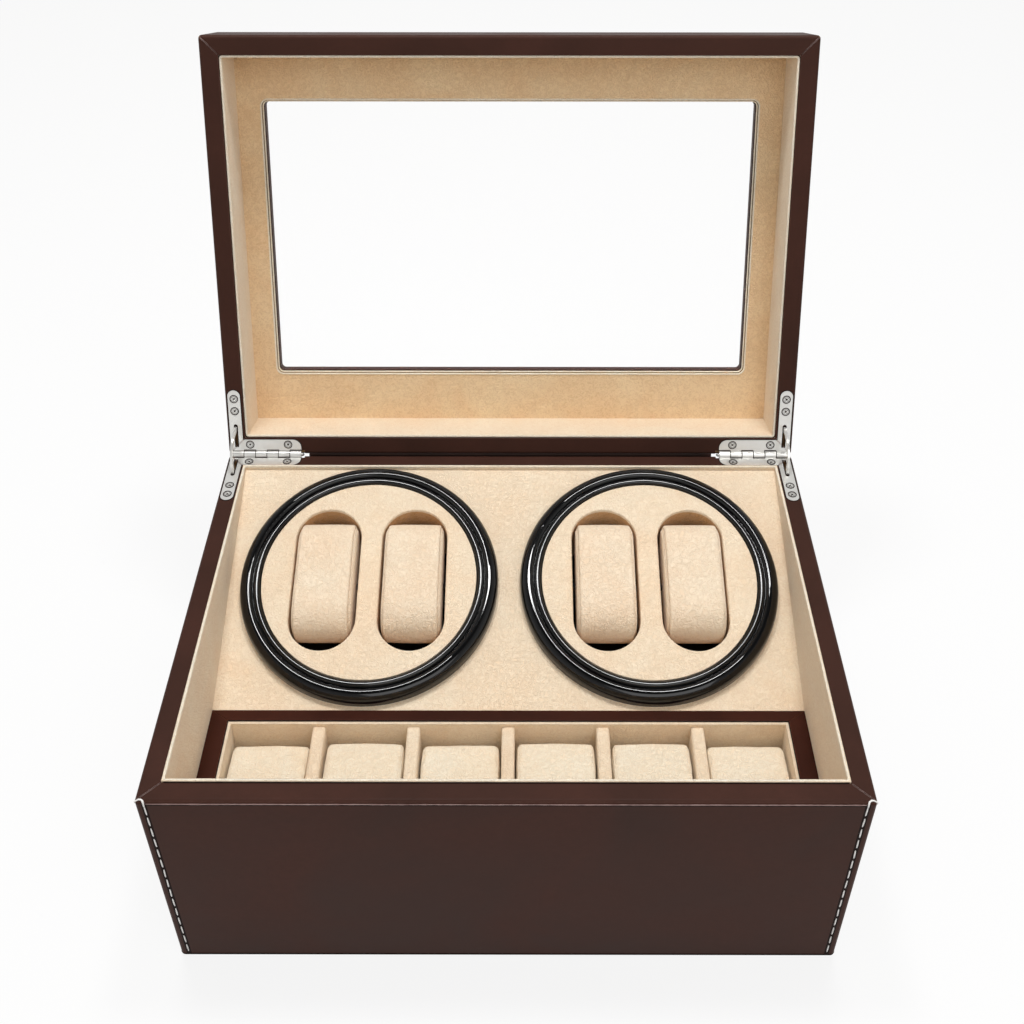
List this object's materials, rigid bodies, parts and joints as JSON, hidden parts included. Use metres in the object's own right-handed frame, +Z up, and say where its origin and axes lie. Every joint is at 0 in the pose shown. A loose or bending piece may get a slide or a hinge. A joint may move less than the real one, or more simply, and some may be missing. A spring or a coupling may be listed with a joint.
{
  "type": "watch winder box",
  "caption": "Leatherette box with a windowed lid on quadrant hinges, two sloped winding turntables with watch cuffs, and a storage tray of watch pillows.",
  "frame": {"origin": "centre of the base's footprint, on the surface that it stands on", "axes": "+X to the box's right, +Y to its back, where the lid is hinged, +Z up; the rest pose has the lid fully open"},
  "size_m": [0.335, 0.3613, 0.3572],
  "materials": {
    "leatherette": "satin",
    "tray_leatherette": "satin",
    "velvet": "matte",
    "velvet_tan": "matte",
    "cushion_velvet": "matte",
    "mdf": "matte",
    "felt": "matte",
    "gloss_black": "gloss",
    "black_plastic": "satin",
    "nickel_plate": "polished",
    "motor_steel": "brushed",
    "grey_plastic": "matte",
    "white_plastic": "satin",
    "brass": "satin",
    "circuit_board": "satin",
    "glass": "clear"
  },
  "bodies": {
    "case": {"floor_board": "mdf", "front_board": "mdf", "rear_board": "mdf", "left_board": "mdf", "right_board": "mdf", "base_wrap": "leatherette", "bottom_felt": "felt", "base_lining": "velvet", "winder_deck": "velvet", "support_battens": "mdf", "tray_frame": "tray_leatherette", "tray_lining": "velvet", "tray_dividers": "velvet", "left_bezel_ring": "gloss_black", "right_bezel_ring": "gloss_black", "left_motor_bracket": "grey_plastic", "right_motor_bracket": "grey_plastic", "left_gearmotor": "motor_steel", "right_gearmotor": "motor_steel", "axle_bushes": "brass", "control_board": "circuit_board", "power_inlet": "black_plastic", "mode_switch_body": "black_plastic", "left_base_leaf": "nickel_plate", "right_base_leaf": "nickel_plate", "hinge_pins": "nickel_plate", "base_hinge_screws": "nickel_plate"},
    "lid": {"lid_side_boards": "mdf", "lid_cross_boards": "mdf", "lid_top_frame": "mdf", "lid_wrap": "leatherette", "lid_lining": "velvet", "lid_ceiling": "velvet_tan", "window_pane": "glass", "left_lid_leaf": "nickel_plate", "right_lid_leaf": "nickel_plate", "lid_hinge_screws": "nickel_plate"},
    "left_stay": {"left_stay": "nickel_plate"},
    "right_stay": {"right_stay": "nickel_plate"},
    "left_turntable": {"left_turntable_cups": "white_plastic", "left_turntable_disc": "velvet", "left_turntable_gear": "white_plastic"},
    "right_turntable": {"right_turntable_cups": "white_plastic", "right_turntable_disc": "velvet", "right_turntable_gear": "white_plastic"},
    "left_pinion": {"left_motor_pinion": "white_plastic"},
    "right_pinion": {"right_motor_pinion": "white_plastic"},
    "left_cuff_outer": {"left_cuff_outer": "cushion_velvet"},
    "left_cuff_inner": {"left_cuff_inner": "cushion_velvet"},
    "right_cuff_inner": {"right_cuff_inner": "cushion_velvet"},
    "right_cuff_outer": {"right_cuff_outer": "cushion_velvet"},
    "pillow_1": {"pillow_1": "cushion_velvet"},
    "pillow_2": {"pillow_2": "cushion_velvet"},
    "pillow_3": {"pillow_3": "cushion_velvet"},
    "pillow_4": {"pillow_4": "cushion_velvet"},
    "pillow_5": {"pillow_5": "cushion_velvet"},
    "pillow_6": {"pillow_6": "cushion_velvet"},
    "mode_switch_knob": {"mode_switch_knob": "white_plastic"}
  },
  "joints": [
    {"name": "lid_hinge", "type": "hinge", "parent": "case", "child": "lid", "pos_m": [0, 0.12, 0.1323], "axis": [-1, 0, 0], "range_deg": [-110, 0]},
    {"name": "left_stay_swing", "type": "hinge", "parent": "case", "child": "left_stay", "pos_m": [-0.1623, 0.12, 0.1323], "axis": [-1, 0, 0], "range_deg": [-55, 0]},
    {"name": "right_stay_swing", "type": "hinge", "parent": "case", "child": "right_stay", "pos_m": [0.1623, 0.12, 0.1323], "axis": [-1, 0, 0], "range_deg": [-55, 0]},
    {"name": "left_turntable_spin", "type": "hinge", "parent": "case", "child": "left_turntable", "pos_m": [-0.0775, 0.03825, 0.10777], "axis": [0, -0.309, 0.9511], "continuous": true},
    {"name": "left_pinion_spin", "type": "hinge", "parent": "case", "child": "left_pinion", "pos_m": [-0.0775, 0.00102, 0.09567], "axis": [0, -0.309, 0.9511], "continuous": true},
    {"name": "right_turntable_spin", "type": "hinge", "parent": "case", "child": "right_turntable", "pos_m": [0.0775, 0.03825, 0.10777], "axis": [0, -0.309, 0.9511], "continuous": true},
    {"name": "right_pinion_spin", "type": "hinge", "parent": "case", "child": "right_pinion", "pos_m": [0.0775, 0.00102, 0.09567], "axis": [0, -0.309, 0.9511], "continuous": true},
    {"name": "left_cuff_outer_lift", "type": "slide", "parent": "left_turntable", "child": "left_cuff_outer", "axis": [0, -0.309, 0.9511], "range_m": [0, 0.05]},
    {"name": "left_cuff_inner_lift", "type": "slide", "parent": "left_turntable", "child": "left_cuff_inner", "axis": [0, -0.309, 0.9511], "range_m": [0, 0.05]},
    {"name": "right_cuff_inner_lift", "type": "slide", "parent": "right_turntable", "child": "right_cuff_inner", "axis": [0, -0.309, 0.9511], "range_m": [0, 0.05]},
    {"name": "right_cuff_outer_lift", "type": "slide", "parent": "right_turntable", "child": "right_cuff_outer", "axis": [0, -0.309, 0.9511], "range_m": [0, 0.05]},
    {"name": "pillow_1_lift", "type": "slide", "parent": "case", "child": "pillow_1", "axis": [0, 0, 1], "range_m": [0, 0.06]},
    {"name": "pillow_2_lift", "type": "slide", "parent": "case", "child": "pillow_2", "axis": [0, 0, 1], "range_m": [0, 0.06]},
    {"name": "pillow_3_lift", "type": "slide", "parent": "case", "child": "pillow_3", "axis": [0, 0, 1], "range_m": [0, 0.06]},
    {"name": "pillow_4_lift", "type": "slide", "parent": "case", "child": "pillow_4", "axis": [0, 0, 1], "range_m": [0, 0.06]},
    {"name": "pillow_5_lift", "type": "slide", "parent": "case", "child": "pillow_5", "axis": [0, 0, 1], "range_m": [0, 0.06]},
    {"name": "pillow_6_lift", "type": "slide", "parent": "case", "child": "pillow_6", "axis": [0, 0, 1], "range_m": [0, 0.06]},
    {"name": "mode_switch_slide", "type": "slide", "parent": "case", "child": "mode_switch_knob", "axis": [1, 0, 0], "range_m": [-0.003, 0.003]}
  ],
  "couplings": [
    {"joint": "left_stay_swing", "follows": "lid_hinge", "ratio": 0.5},
    {"joint": "right_stay_swing", "follows": "lid_hinge", "ratio": 0.5},
    {"joint": "left_pinion_spin", "follows": "left_turntable_spin", "ratio": -3.3333},
    {"joint": "right_pinion_spin", "follows": "right_turntable_spin", "ratio": -3.3333}
  ]
}
